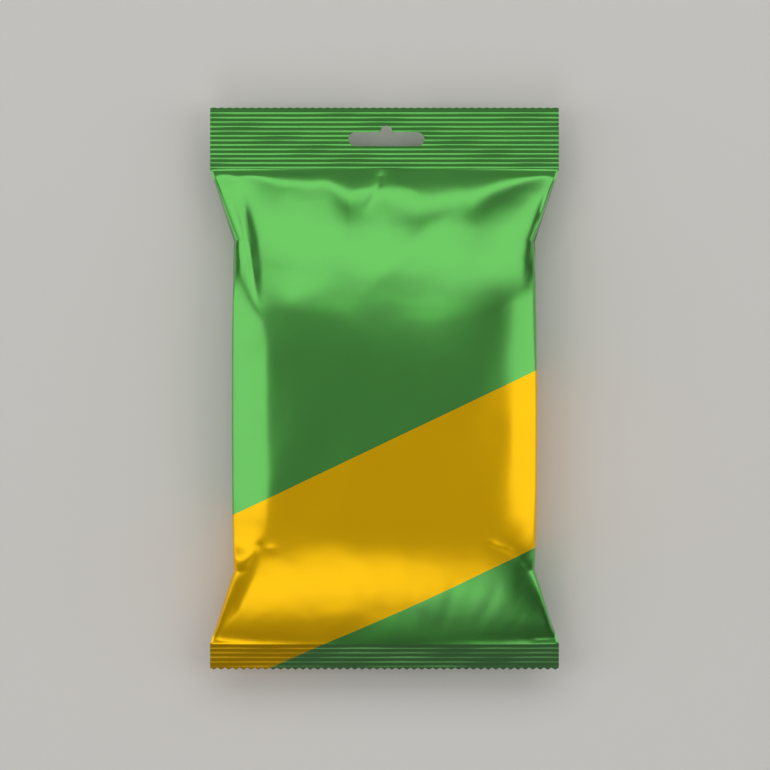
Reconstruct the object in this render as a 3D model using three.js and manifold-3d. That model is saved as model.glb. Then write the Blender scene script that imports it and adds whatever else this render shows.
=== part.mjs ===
// A shut bag of crisps that lies on its back, with its printed front up.
// The bag is a tube of film, pressed flat and crimped shut at both ends, with a hang slot in the top seal.
// The film can bend but hardly stretch, so its folds come from settling it over the soft filling.
// X runs across the bag, Y runs up to the hang slot, and Z points up from the table.

import * as THREE from 'three';
import { mergeVertices } from 'three/addons/utils/BufferGeometryUtils.js';
import Module from 'manifold-3d';

// Driving dimensions of the bag, in millimetres
const BAG_WIDTH = 147;
const BAG_LENGTH = 237;
const TOP_SEAL_LENGTH = 26;
const BOTTOM_SEAL_LENGTH = 10.7;
const BAG_HEIGHT = 37.5;
const SEAL_HEIGHT = 16;

// Outline of the filled part: straight wings narrow from the seals to a waist, which swells a little
const WAIST_HALF_WIDTH = 63.2;
const WAIST_SWELL = 1.2;
const TOP_WING_LENGTH = 31;
const BOTTOM_WING_LENGTH = 32;

// Crimped seals
const SEAL_THICKNESS = 0.7;
const CRIMP_RISE = 0.4;
const TOP_CRIMPS = 13;
const BOTTOM_CRIMPS = 5;
const SEAL_OVERLAP = 0.6;
const TOP_TEETH = 46;
const TOP_TOOTH_DEPTH = 0.3;
const BOTTOM_TEETH = 47;
const BOTTOM_TOOTH_DEPTH = 0.9;

// Hang slot: a rounded slot with a low hump in the middle of its upper edge
const SLOT_CENTRE_X = 0.8;
const SLOT_BOTTOM_Y = 102.2;
const SLOT_WIDTH = 32;
const SLOT_DEPTH = 5.9;
const HUMP_RISE = 2.8;
const HUMP_RADIUS = 2.4;
const HUMP_FILLET = 1;

// Film between the seals, a little longer and wider than the flat outline
const FILM_LENGTH = 209.5;
const FILM_SLACK = 1.014;
const LAYER_GAP = 0.4;
const BENDING_STIFFNESS = 0.15;
const DIAGONAL_STIFFNESS = 0.6;
const EDGE_GUIDANCE = 0.3;

// Filling: its section is a rounded box in the middle of the bag and a thin lens at the seals
const FILL_RISE = 18.5;
const FILL_DROP = 15.9;
const FILL_FRONT_TOP = { run: 60, power: 1.35 };
const FILL_FRONT_BOTTOM = { run: 50, power: 1.5 };
const FILL_BACK_TOP = { run: 42, power: 2.2 };
const FILL_BACK_BOTTOM = { run: 36, power: 2.2 };
const FILL_EDGE_GAP = 2;
const FILL_BOXINESS = 2.6;
const LENS_BOXINESS = 1.2;
const BOXINESS_RUN = 34;

// The top of the filled bag is a low crown with soft lumps, where the crisps push the film up
const CROWN_DROP = 1.2;
const CROWN_RADIUS_X = 60;
const CROWN_RADIUS_Y = 80;
const LUMP_RISE = 0.2;

// Section of the bag when its film is pulled smooth: slopes and boxiness of the front and of the back
const SMOOTH_RISE = 21.3;
const SMOOTH_DROP = 16;
const SMOOTH_TOP = { run: 84, power: 2.2 };
const SMOOTH_TOP_RIGHT = { run: 50, power: 1.6 };
const RIGHT_SLOPE_X = 22;
const RIGHT_SLOPE_BLEND = 28;
const SMOOTH_BOTTOM = { run: 56, power: 2 };
const FRONT_BOXINESS = 8;
const BACK_BOXINESS = 3.2;
const SEAL_BOXINESS = 1.8;
const SMOOTH_BOX_RUN = 12;
const SECTION_STEPS = 720;

// Edge of the smooth front: less steep in the wings than at the waist
const WING_STEEPNESS = 3;
const WAIST_STEEPNESS = 25;
const STEEPENING_START = 6;
const STEEPENING_RUN = 28;
const EDGE_SOFTNESS = 1;

// Share of the settled film's wrinkles that stays in the front and in the back, away from folds and seals
const FRONT_WRINKLES = 0.16;
const BACK_WRINKLES = 0.7;
const EDGE_BLEND = 6;
const TAUT_RUN = 26;

// Slack film under the top seal: X and the run in which the film leaves the plane of the seal
const TOP_SLACK = [
  [-73, 0.5], [-64, 1.5], [-54, 3], [-44, 6], [-32, 7], [-24, 6], [-18, 11], [-12, 16], [-7, 12],
  [-3, 8], [2, 12], [8, 22], [17, 21], [28, 18], [38, 15], [46, 9], [58, 5], [73, 1],
];
const SLACK_SHARPNESS = 3.5;
const SLACK_BLUR = 3;
const SLACK_SPREAD = 18;
const SLACK_SPREAD_RUN = 40;
const SLACK_SAMPLES = 41;

// Side strips of the front fall away from two shoulders: Y and distance of a shoulder from the middle
const LEFT_SHOULDER = [
  [-108, 75], [-83, 72], [-76, 61], [-70, 53], [-62, 49.2], [25, 49.5], [61, 60], [93, 74],
];
const RIGHT_SHOULDER = [
  [-108, 75], [-83, 72], [-76, 64], [-68, 56], [-38, 53.2], [-5, 53.4], [25, 56.5], [53, 62], [93, 74],
];
const SHOULDER_BLUR = 5;
const STRIP_FALL = 0.022;
const STRIP_BEND = 0.0006;
const SHOULDER_SOFTNESS = 0.035;

// The film is settled on a coarse grid first and then on one twice as fine
const COARSE_AROUND = 40;
const COARSE_ALONG = 24;
const COARSE_SETTLING = { steps: 700, startFill: 0.05, push: 0.0044, damping: 0.96 };
const FINE_SETTLING = { steps: 400, startFill: 1, push: 0.0022, damping: 0.9 };
const ROUNDS_PER_STEP = 2;
const FLAT_TUBE_BULGE = 3;
const UNEVENNESS = 0.05;

// Printed film
const FILM_COLOUR = '#3f9a37';
const FILM_ROUGHNESS = 0.36;
const FILM_METALNESS = 0.9;

const TOP_SEAL_Y = BAG_LENGTH / 2 - TOP_SEAL_LENGTH;
const BOTTOM_SEAL_Y = BOTTOM_SEAL_LENGTH - BAG_LENGTH / 2;

const wasm = await Module();
wasm.setup();

function clamp01(value) {
  return Math.min(Math.max(value, 0), 1);
}

function smoothStep(value) {
  const t = clamp01(value);
  return t * t * (3 - 2 * t);
}

function mean(values) {
  return values.reduce((sum, value) => sum + value, 0) / values.length;
}

// 0 at a seal, rising to 1 at the end of the slope
function slope(distance, { run, power }) {
  return 1 - (1 - clamp01(distance / run)) ** power;
}

// Half width of the bag's outline at y
function halfWidth(y) {
  const waistShare = clamp01((y - BOTTOM_SEAL_Y - BOTTOM_WING_LENGTH)
    / (TOP_SEAL_Y - TOP_WING_LENGTH - BOTTOM_SEAL_Y - BOTTOM_WING_LENGTH));
  const waist = WAIST_HALF_WIDTH + WAIST_SWELL * Math.sqrt(Math.sin(Math.PI * waistShare) + 1e-12);
  const wing = y > 0 ? (TOP_SEAL_Y - y) / TOP_WING_LENGTH : (y - BOTTOM_SEAL_Y) / BOTTOM_WING_LENGTH;
  return BAG_WIDTH / 2 + (waist - BAG_WIDTH / 2) * clamp01(wing);
}

// Section of the filling at y, for a bag that is filled to the share fill
function fillingSection(y, fill) {
  const toTop = TOP_SEAL_Y - y;
  const toBottom = y - BOTTOM_SEAL_Y;
  const rise = fill * FILL_RISE * slope(toTop, FILL_FRONT_TOP) * slope(toBottom, FILL_FRONT_BOTTOM);
  const drop = fill * FILL_DROP * slope(toTop, FILL_BACK_TOP) * slope(toBottom, FILL_BACK_BOTTOM);
  const box = smoothStep(toTop / BOXINESS_RUN) * smoothStep(toBottom / BOXINESS_RUN);
  return {
    halfWidth: halfWidth(y) - FILL_EDGE_GAP,
    centre: SEAL_HEIGHT + (rise - drop) / 2,
    halfHeight: (rise + drop) / 2,
    power: LENS_BOXINESS + (FILL_BOXINESS - LENS_BOXINESS) * box,
  };
}

// How far the soft, lumpy top of the filling lies below its highest point
function crownFall(x, y) {
  const fall = CROWN_DROP * ((x / CROWN_RADIUS_X) ** 2 + (y / CROWN_RADIUS_Y) ** 2);
  const lumps = Math.sin(x / 8 + y / 21) * Math.sin(y / 11 - x / 17) + Math.sin(x / 5 - y / 9) / 2;
  return fall + LUMP_RISE * (1.5 - lumps);
}

// Height that the settled film nowhere passes
function crownHeight(x, y) {
  return Math.max(BAG_HEIGHT - crownFall(x, y), SEAL_HEIGHT + 1);
}

// A grid of film points: column i runs round the tube from its left fold over the front, row j up the bag
class Film {
  constructor(around, along) {
    this.around = around;
    this.along = along;
    this.points = new Float64Array(3 * around * (along + 1));
  }

  at(i, j) {
    return 3 * (((i + this.around) % this.around) * (this.along + 1) + j);
  }

  get half() {
    return this.around / 2;
  }

  // 1 on the front layer, -1 on the back layer and 0 on the two folds
  layer(i) {
    return Math.sign(this.half - i) * (i === 0 ? 0 : 1);
  }

  place(i, j, x, y, z) {
    this.points.set([x, y, z], this.at(i, j));
  }
}

function flatX(film, i) {
  const share = i <= film.half ? i / film.half : 2 - i / film.half;
  return BAG_WIDTH * (share - 0.5);
}

function pinSealRows(film) {
  for (let i = 0; i < film.around; i += 1) {
    const z = SEAL_HEIGHT + LAYER_GAP * film.layer(i);
    film.place(i, 0, flatX(film, i), BOTTOM_SEAL_Y, z);
    film.place(i, film.along, flatX(film, i), TOP_SEAL_Y, z);
  }
}

function flatTube(around, along) {
  const film = new Film(around, along);
  for (let i = 0; i < around; i += 1) {
    const x = flatX(film, i);
    const lens = Math.sqrt(Math.max(0, 1 - (2 * x / BAG_WIDTH) ** 2));
    for (let j = 1; j < along; j += 1) {
      const y = BOTTOM_SEAL_Y + (TOP_SEAL_Y - BOTTOM_SEAL_Y) * j / along;
      const bulge = FLAT_TUBE_BULGE * lens * Math.sin(Math.PI * j / along);
      const bump = UNEVENNESS * Math.sin(2.1 * i + 1.3 * j) * Math.cos(1.7 * i - 0.8 * j);
      film.place(i, j, x, y, SEAL_HEIGHT + film.layer(i) * bulge + bump);
    }
  }
  pinSealRows(film);
  return film;
}

// The same film on a grid with twice as many cells each way
function finer(film) {
  const fine = new Film(2 * film.around, 2 * film.along);
  for (let i = 0; i < fine.around; i += 1) {
    for (let j = 0; j <= fine.along; j += 1) {
      const corners = [
        film.at(i >> 1, j >> 1),
        film.at((i + 1) >> 1, j >> 1),
        film.at(i >> 1, (j + 1) >> 1),
        film.at((i + 1) >> 1, (j + 1) >> 1),
      ];
      fine.place(i, j, ...[0, 1, 2].map((axis) => mean(corners.map((k) => film.points[k + axis]))));
    }
  }
  pinSealRows(fine);
  return fine;
}

// Moves two film points along the line between them towards their distance at rest
function pull(film, i1, j1, i2, j2, rest, strength, onlyPush) {
  const points = film.points;
  const a = film.at(i1, j1);
  const b = film.at(i2, j2);
  const dx = points[b] - points[a];
  const dy = points[b + 1] - points[a + 1];
  const dz = points[b + 2] - points[a + 2];
  const length = Math.hypot(dx, dy, dz) + 1e-9;
  let excess = (length - rest) / length;
  if (onlyPush) {
    excess = Math.min(excess, 0);
  }
  const freeA = j1 === 0 || j1 === film.along ? 0 : 1;
  const freeB = j2 === 0 || j2 === film.along ? 0 : 1;
  const share = excess * strength / Math.max(freeA + freeB, 1);
  points[a] += dx * share * freeA;
  points[a + 1] += dy * share * freeA;
  points[a + 2] += dz * share * freeA;
  points[b] -= dx * share * freeB;
  points[b + 1] -= dy * share * freeB;
  points[b + 2] -= dz * share * freeB;
}

// Pulls on all pairs (i, j) and (i + di, j + dj), in two sets that share no point
function pullPairs(film, di, dj, rest, strength, onlyPush = false) {
  const span = Math.max(Math.abs(di), Math.abs(dj));
  const first = Math.max(0, -dj);
  const last = film.along - Math.max(0, dj);
  for (const wanted of [true, false]) {
    for (let i = 0; i < film.around; i += 1) {
      for (let j = first; j <= last; j += 1) {
        const counter = di > 0 ? i : j;
        if ((counter % (2 * span) < span) === wanted) {
          pull(film, i, j, i + di, j + dj, rest, strength, onlyPush);
        }
      }
    }
  }
}

function pushByPressure(film, push, cellArea) {
  const points = film.points;
  const moves = new Float64Array(points.length);
  for (let i = 0; i < film.around; i += 1) {
    for (let j = 1; j < film.along; j += 1) {
      const [left, right] = [film.at(i - 1, j), film.at(i + 1, j)];
      const [below, above] = [film.at(i, j - 1), film.at(i, j + 1)];
      const across = [0, 1, 2].map((axis) => points[right + axis] - points[left + axis]);
      const along = [0, 1, 2].map((axis) => points[above + axis] - points[below + axis]);
      const scale = push / (4 * cellArea);
      const k = film.at(i, j);
      moves[k] = scale * (across[1] * along[2] - across[2] * along[1]);
      moves[k + 1] = scale * (across[2] * along[0] - across[0] * along[2]);
      moves[k + 2] = scale * (across[0] * along[1] - across[1] * along[0]);
    }
  }
  moves.forEach((move, k) => {
    points[k] += move;
  });
}

// Moves each point that is inside the filling out to its surface
function restOnFilling(film, fill) {
  const points = film.points;
  for (let i = 0; i < film.around; i += 1) {
    for (let j = 1; j < film.along; j += 1) {
      const k = film.at(i, j);
      const section = fillingSection(points[k + 1], fill);
      const across = Math.abs(points[k] / section.halfWidth) ** section.power;
      const reach = Math.max(section.halfHeight, 1e-3);
      const up = Math.abs((points[k + 2] - section.centre) / reach) ** section.power;
      const depth = (across + up) ** (1 / section.power);
      if (depth < 1 && section.halfHeight > 0.3) {
        const scale = 1 / Math.max(depth, 0.05);
        points[k] *= scale;
        points[k + 2] = section.centre + (points[k + 2] - section.centre) * scale;
      }
    }
  }
}

// Keeps the film inside the outline, above the table and under the top, and its layers apart
function keepInside(film) {
  const points = film.points;
  for (let i = 0; i < film.around; i += 1) {
    const layer = film.layer(i);
    for (let j = 1; j < film.along; j += 1) {
      const k = film.at(i, j);
      const limit = halfWidth(points[k + 1]);
      points[k] = Math.min(Math.max(points[k], -limit), limit);
      if (layer === 0) {
        const side = i === 0 ? -1 : 1;
        points[k] += EDGE_GUIDANCE * (side * halfWidth(points[k + 1]) - points[k]);
      } else {
        const gap = layer * (points[k + 2] - SEAL_HEIGHT);
        points[k + 2] = SEAL_HEIGHT + layer * Math.max(gap, LAYER_GAP);
      }
      points[k + 2] = Math.min(Math.max(points[k + 2], 0), crownHeight(points[k], points[k + 1]));
    }
  }
}

function settle(film, { steps, startFill, push, damping }) {
  const across = 2 * BAG_WIDTH * FILM_SLACK / film.around;
  const along = FILM_LENGTH / film.along;
  const diagonal = Math.hypot(across, along);
  let before = film.points.slice();
  for (let step = 1; step <= steps; step += 1) {
    const fill = startFill + (1 - startFill) * Math.min(1, 1.3 * step / steps);
    const now = film.points.slice();
    pushByPressure(film, push, across * along);
    for (let k = 0; k < now.length; k += 1) {
      film.points[k] += (now[k] - before[k]) * damping;
    }
    before = now;
    for (let round = 0; round < ROUNDS_PER_STEP; round += 1) {
      restOnFilling(film, fill);
      pullPairs(film, 0, 1, along, 1);
      pullPairs(film, 1, 0, across, 1);
      pullPairs(film, 1, 1, diagonal, DIAGONAL_STIFFNESS);
      pullPairs(film, 1, -1, diagonal, DIAGONAL_STIFFNESS);
      pullPairs(film, 0, 2, 2 * along, BENDING_STIFFNESS, true);
      pullPairs(film, 2, 0, 2 * across, BENDING_STIFFNESS, true);
      keepInside(film);
    }
  }
  return film;
}

// Value at a place between the points of a line of [place, value] pairs
function between(line, place) {
  const next = line.findIndex(([end]) => end >= place);
  const k = next < 0 ? line.length - 1 : Math.max(next, 1);
  const [[start, before], [end, after]] = [line[k - 1], line[k]];
  return before + (after - before) * clamp01((place - start) / (end - start));
}

// Mean value of a line from a little before a place to a little after it
function blurred(line, place, spread) {
  return mean([-3, -2, -1, 0, 1, 2, 3].map((k) => between(line, place + spread * k / 3)));
}

// Distance from the top seal, less what the slack film under the seal takes up
function slackDistance(x, toTop) {
  const sharp = blurred(TOP_SLACK, x, SLACK_BLUR);
  const wide = blurred(TOP_SLACK, x, SLACK_SPREAD);
  const run = sharp + (wide - sharp) * smoothStep(toTop / SLACK_SPREAD_RUN);
  let sum = 0;
  for (let k = 0; k < SLACK_SAMPLES; k += 1) {
    sum += 1 - Math.exp(-((k / (SLACK_SAMPLES - 1) * toTop / run) ** SLACK_SHARPNESS));
  }
  return toTop * sum / SLACK_SAMPLES;
}

// Rise of the smooth front over the plane of the seals, before its sides fall away
function frontRise(x, y) {
  const toTop = slackDistance(x, TOP_SEAL_Y - y);
  const right = smoothStep((x - RIGHT_SLOPE_X) / RIGHT_SLOPE_BLEND);
  const top = slope(toTop, SMOOTH_TOP) * (1 - right) + slope(toTop, SMOOTH_TOP_RIGHT) * right;
  return top * slope(y - BOTTOM_SEAL_Y, SMOOTH_BOTTOM) * (SMOOTH_RISE - crownFall(x, y));
}

// Height that the film's edge allows
function edgeRise(x, y) {
  const toSeal = Math.min(TOP_SEAL_Y - y, y - BOTTOM_SEAL_Y);
  const waist = smoothStep((toSeal - STEEPENING_START) / STEEPENING_RUN);
  return (WING_STEEPNESS + (WAIST_STEEPNESS - WING_STEEPNESS) * waist) * (halfWidth(y) - Math.abs(x));
}

// Height of the side strips, as a share of the height in the middle
function stripHeight(x, y) {
  const outside = Math.abs(x) - blurred(x < 0 ? LEFT_SHOULDER : RIGHT_SHOULDER, y, SHOULDER_BLUR);
  return 1 - STRIP_FALL * outside - STRIP_BEND * Math.max(outside, 0) ** 2;
}

function softMin(a, b, softness) {
  return (a + b - Math.hypot(a - b, softness)) / 2;
}

function frontHeight(x, y, lens) {
  const share = Math.max(softMin(lens, stripHeight(x, y), SHOULDER_SOFTNESS), 0);
  const rise = softMin(frontRise(x, y) * share, edgeRise(x, y), EDGE_SOFTNESS);
  return SEAL_HEIGHT + Math.max(rise, 0) + LAYER_GAP * lens;
}

function backHeight(y, lens) {
  const filled = slope(TOP_SEAL_Y - y, FILL_BACK_TOP) * slope(y - BOTTOM_SEAL_Y, FILL_BACK_BOTTOM);
  const drop = SMOOTH_DROP * filled;
  return Math.max(SEAL_HEIGHT - (drop + LAYER_GAP) * lens, 0);
}

// One layer of the smooth section at y: X and Z of points that are evenly spaced along it
function smoothLayer(y, isFront, cells) {
  const box = smoothStep(Math.min(TOP_SEAL_Y - y, y - BOTTOM_SEAL_Y) / SMOOTH_BOX_RUN);
  const boxiness = isFront ? FRONT_BOXINESS : BACK_BOXINESS;
  const power = 2 / (SEAL_BOXINESS + (boxiness - SEAL_BOXINESS) * box);
  const points = [];
  const runs = [0];
  for (let k = 0; k <= SECTION_STEPS; k += 1) {
    const turn = Math.PI * k / SECTION_STEPS;
    const side = (isFront ? -1 : 1) * Math.sign(Math.cos(turn));
    const x = side * halfWidth(y) * Math.abs(Math.cos(turn)) ** power;
    const lens = Math.max(Math.sin(turn), 0) ** power;
    points.push([x, isFront ? frontHeight(x, y, lens) : backHeight(y, lens)]);
    if (k > 0) {
      runs.push(runs[k - 1] + Math.hypot(x - points[k - 1][0], points[k][1] - points[k - 1][1]));
    }
  }
  const even = [];
  for (let cell = 0; cell < cells; cell += 1) {
    const wanted = runs[SECTION_STEPS] * cell / cells;
    const k = Math.max(runs.findIndex((run) => run >= wanted), 1);
    const share = (wanted - runs[k - 1]) / (runs[k] - runs[k - 1]);
    even.push([0, 1].map((axis) => points[k - 1][axis] + share * (points[k][axis] - points[k - 1][axis])));
  }
  return even;
}

// Pulls most wrinkles out of the front, and fewer out of the back
function pullSmooth(film) {
  const points = film.points;
  const columns = Array.from({ length: film.around }, (_, i) => i);
  for (let j = 1; j < film.along; j += 1) {
    const y = mean(columns.map((i) => points[film.at(i, j) + 1]));
    const section = [...smoothLayer(y, true, film.half), ...smoothLayer(y, false, film.half)];
    const free = smoothStep(Math.min(TOP_SEAL_Y - y, y - BOTTOM_SEAL_Y) / TAUT_RUN);
    for (const i of columns) {
      const share = (i % film.half) / film.half;
      const wrinkles = i < film.half ? FRONT_WRINKLES : BACK_WRINKLES;
      const kept = wrinkles * free * smoothStep(Math.min(share, 1 - share) * EDGE_BLEND);
      const smooth = [section[i][0], y, section[i][1]];
      const k = film.at(i, j);
      smooth.forEach((value, axis) => {
        points[k + axis] = value + (points[k + axis] - value) * kept;
      });
    }
  }
  return film;
}

function distance(points, a, b) {
  return Math.hypot(points[a] - points[b], points[a + 1] - points[b + 1], points[a + 2] - points[b + 2]);
}

// Closed surface of the film: each cell is split along its shorter diagonal, and both ends are capped
function filmGeometry(film) {
  const index = [];
  const number = (i, j) => film.at(i, j) / 3;
  for (let i = 0; i < film.around; i += 1) {
    for (let j = 0; j < film.along; j += 1) {
      const [a, b, c, d] = [number(i, j), number(i + 1, j), number(i + 1, j + 1), number(i, j + 1)];
      if (distance(film.points, 3 * a, 3 * c) < distance(film.points, 3 * b, 3 * d)) {
        index.push(a, b, c, a, c, d);
      } else {
        index.push(a, b, d, b, c, d);
      }
    }
  }
  for (let i = 0; i < film.half; i += 1) {
    for (const j of [0, film.along]) {
      const front = [number(i, j), number(i + 1, j)];
      const back = [number(film.around - i, j), number(film.around - i - 1, j)];
      const corners = [front[0], front[1], back[1], back[0]];
      const ring = [...new Set(j === 0 ? corners.reverse() : corners)];
      for (let k = 2; k < ring.length; k += 1) {
        index.push(ring[0], ring[k - 1], ring[k]);
      }
    }
  }
  const geometry = new THREE.BufferGeometry();
  geometry.setAttribute('position', new THREE.Float32BufferAttribute(film.points, 3));
  geometry.setIndex(index);
  return geometry;
}

function solidOf(geometry) {
  geometry.deleteAttribute('normal');
  geometry.deleteAttribute('uv');
  const merged = mergeVertices(geometry, 1e-4);
  return new wasm.Manifold(new wasm.Mesh({
    numProp: 3,
    vertProperties: new Float32Array(merged.attributes.position.array),
    triVerts: new Uint32Array(merged.index.array),
  }));
}

// A zigzag sheet between two places along Y, as wide as the bag and a little more
function crimpedSheet(yStart, yEnd, crimps) {
  const direction = Math.sign(yEnd - yStart);
  const pitch = Math.abs(yEnd - yStart) / crimps;
  const middle = [[yStart - direction * SEAL_OVERLAP, 0], [yStart, 0]];
  for (let fold = 0; fold < 2 * crimps; fold += 1) {
    middle.push([yStart + direction * pitch * (fold + 0.5) / 2, fold % 2 === 0 ? CRIMP_RISE : -CRIMP_RISE]);
  }
  middle.push([yEnd + direction, 0]);
  const upper = middle.map(([y, z]) => new THREE.Vector2(y, SEAL_HEIGHT + z + SEAL_THICKNESS / 2));
  const lower = middle.map(([y, z]) => new THREE.Vector2(y, SEAL_HEIGHT + z - SEAL_THICKNESS / 2));
  const shape = new THREE.Shape([...upper, ...lower.reverse()]);
  const geometry = new THREE.ExtrudeGeometry(shape, { depth: BAG_WIDTH + 2, bevelEnabled: false });
  const turn = new THREE.Matrix4().makeBasis(
    new THREE.Vector3(0, 1, 0),
    new THREE.Vector3(0, 0, 1),
    new THREE.Vector3(1, 0, 0),
  );
  geometry.applyMatrix4(turn);
  geometry.translate(-BAG_WIDTH / 2 - 1, 0, 0);
  return solidOf(geometry);
}

// Outline of a seal, with a toothed outer edge whose tips lie on yTip
function toothedOutline(yInner, yTip, teeth, toothDepth) {
  const yRoot = yTip - Math.sign(yTip) * toothDepth;
  const points = [new THREE.Vector2(-BAG_WIDTH / 2, yInner)];
  for (let k = 0; k <= 2 * teeth; k += 1) {
    const x = BAG_WIDTH * (k / (2 * teeth) - 0.5);
    points.push(new THREE.Vector2(x, k % 2 === 1 ? yTip : yRoot));
  }
  points.push(new THREE.Vector2(BAG_WIDTH / 2, yInner));
  return new THREE.Shape(points);
}

function hangSlot() {
  const radius = SLOT_DEPTH / 2;
  const middleY = SLOT_BOTTOM_Y + radius;
  const topY = SLOT_BOTTOM_Y + SLOT_DEPTH;
  const endX = SLOT_WIDTH / 2 - radius;
  const humpY = topY + HUMP_RISE - HUMP_RADIUS;
  const filletY = topY + HUMP_FILLET;
  const filletX = Math.sqrt((HUMP_RADIUS + HUMP_FILLET) ** 2 - (filletY - humpY) ** 2);
  const lean = Math.atan2(filletY - humpY, filletX);
  const quarter = Math.PI / 2;
  const path = new THREE.Path();
  path.moveTo(SLOT_CENTRE_X - endX, SLOT_BOTTOM_Y);
  path.absarc(SLOT_CENTRE_X + endX, middleY, radius, -quarter, quarter, false);
  path.absarc(SLOT_CENTRE_X + filletX, filletY, HUMP_FILLET, -quarter, lean - 2 * quarter, true);
  path.absarc(SLOT_CENTRE_X, humpY, HUMP_RADIUS, lean, 2 * quarter - lean, false);
  path.absarc(SLOT_CENTRE_X - filletX, filletY, HUMP_FILLET, -lean, -quarter, true);
  path.absarc(SLOT_CENTRE_X - endX, middleY, radius, quarter, 3 * quarter, false);
  return path;
}

// A seal is the crimped sheet, trimmed to its outline
function seal(sheet, outline) {
  const depth = 4 * (CRIMP_RISE + SEAL_THICKNESS);
  const trim = new THREE.ExtrudeGeometry(outline, { depth, bevelEnabled: false, curveSegments: 6 });
  trim.translate(0, 0, SEAL_HEIGHT - depth / 2);
  return sheet.intersect(solidOf(trim));
}

function topSeal() {
  const outline = toothedOutline(TOP_SEAL_Y - SEAL_OVERLAP, BAG_LENGTH / 2, TOP_TEETH, TOP_TOOTH_DEPTH);
  outline.holes.push(hangSlot());
  return seal(crimpedSheet(TOP_SEAL_Y, BAG_LENGTH / 2, TOP_CRIMPS), outline);
}

function bottomSeal() {
  const inner = BOTTOM_SEAL_Y + SEAL_OVERLAP;
  const outline = toothedOutline(inner, -BAG_LENGTH / 2, BOTTOM_TEETH, BOTTOM_TOOTH_DEPTH);
  return seal(crimpedSheet(BOTTOM_SEAL_Y, -BAG_LENGTH / 2, BOTTOM_CRIMPS), outline);
}

function bag() {
  const coarse = settle(flatTube(COARSE_AROUND, COARSE_ALONG), COARSE_SETTLING);
  const film = pullSmooth(settle(finer(coarse), FINE_SETTLING));
  const solid = solidOf(filmGeometry(film)).add(topSeal()).add(bottomSeal());
  const mesh = solid.getMesh();
  const geometry = new THREE.BufferGeometry();
  geometry.setAttribute('position', new THREE.BufferAttribute(mesh.vertProperties, 3));
  geometry.setIndex(new THREE.BufferAttribute(mesh.triVerts, 1));
  geometry.computeVertexNormals();
  const material = new THREE.MeshStandardMaterial({
    color: FILM_COLOUR,
    roughness: FILM_ROUGHNESS,
    metalness: FILM_METALNESS,
  });
  const piece = new THREE.Mesh(geometry, material);
  piece.name = 'bag';
  return piece;
}

const group = new THREE.Group();
group.add(bag());

export default group;
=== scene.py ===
"""A shut bag of crisps on its back: a metallised film tube settled over its filling, and two crimped seals.

X runs across the bag, Y runs up to the hang slot, and Z points up from the table.
The film is worked out in millimetres, and the pieces are made in metres.
"""

import math

import bmesh
import bpy
import numpy as np
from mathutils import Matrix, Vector


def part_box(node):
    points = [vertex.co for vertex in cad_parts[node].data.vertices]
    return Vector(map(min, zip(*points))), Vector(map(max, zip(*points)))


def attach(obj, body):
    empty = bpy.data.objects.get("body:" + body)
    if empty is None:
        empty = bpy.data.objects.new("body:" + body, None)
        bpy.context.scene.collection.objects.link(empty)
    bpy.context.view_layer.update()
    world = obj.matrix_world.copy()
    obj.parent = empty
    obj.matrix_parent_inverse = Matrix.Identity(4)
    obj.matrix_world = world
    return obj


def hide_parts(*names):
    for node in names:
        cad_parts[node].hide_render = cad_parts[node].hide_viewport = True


bl_info = {
    "name": "Bag of crisps",
    "version": (1, 0, 0),
    "blender": (4, 5, 0),
    "location": "View3D > Sidebar > Crisp bag",
    "description": "Builds a shut, filled bag of crisps with crimped seals and a studio stage",
    "category": "Object",
}

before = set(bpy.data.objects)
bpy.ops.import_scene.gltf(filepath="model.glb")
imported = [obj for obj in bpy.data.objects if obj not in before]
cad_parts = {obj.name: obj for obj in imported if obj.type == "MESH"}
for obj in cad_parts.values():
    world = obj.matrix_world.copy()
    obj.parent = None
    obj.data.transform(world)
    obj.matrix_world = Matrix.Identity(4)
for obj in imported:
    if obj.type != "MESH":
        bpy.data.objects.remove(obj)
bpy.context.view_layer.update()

MM = 0.001
BAG_LOW, BAG_HIGH = (np.array(corner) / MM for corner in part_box("bag"))
BAG_WIDTH, BAG_LENGTH = (BAG_HIGH - BAG_LOW)[:2]

# Places along Y and Z, in millimetres
TOP_SEAL_LENGTH = 26.0
BOTTOM_SEAL_LENGTH = 10.7
TOP_SEAL_Y = BAG_LENGTH / 2 - TOP_SEAL_LENGTH
BOTTOM_SEAL_Y = BOTTOM_SEAL_LENGTH - BAG_LENGTH / 2
SEAL_HEIGHT = 16.0

# Outline of the filled part: wings narrow from the seals to a waist, which swells a little
WAIST_HALF_WIDTH = 63.2
WAIST_SWELL = 1.2
TOP_WING_LENGTH = 31.0
BOTTOM_WING_LENGTH = 32.0

# Film between the seals. Front and back stay a small gap apart where they meet
LAYER_GAP = 0.4
DIAGONAL_STIFFNESS = 0.6
EDGE_GUIDANCE = 0.3

# Filling: a rounded box in the middle of the bag and a thin lens at the seals. Each slope is (run, power)
FILL_RISE = 18.5
FILL_DROP = 15.9
FRONT_TOP_SLOPE = (60.0, 1.35)
FRONT_BOTTOM_SLOPE = (50.0, 1.5)
BACK_TOP_SLOPE = (42.0, 2.2)
BACK_BOTTOM_SLOPE = (36.0, 2.2)
FILL_EDGE_GAP = 2.0
FILL_BOXINESS = 2.6
LENS_BOXINESS = 1.2
BOXINESS_RUN = 34.0
LEAST_FILL_HEIGHT = 0.3
LEAST_CROWN = 1.0

# The top of the filled bag is a low crown with soft lumps, where the crisps push the film up
CROWN_HEIGHT = 37.5
CROWN_DROP = 1.2
CROWN_RADIUS_X = 60.0
CROWN_RADIUS_Y = 80.0
LUMP_RISE = 0.2
LUMP_TOP = 1.5
LUMP_WAVES = ((8.0, 21.0), (-17.0, 11.0), (5.0, -9.0))

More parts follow.
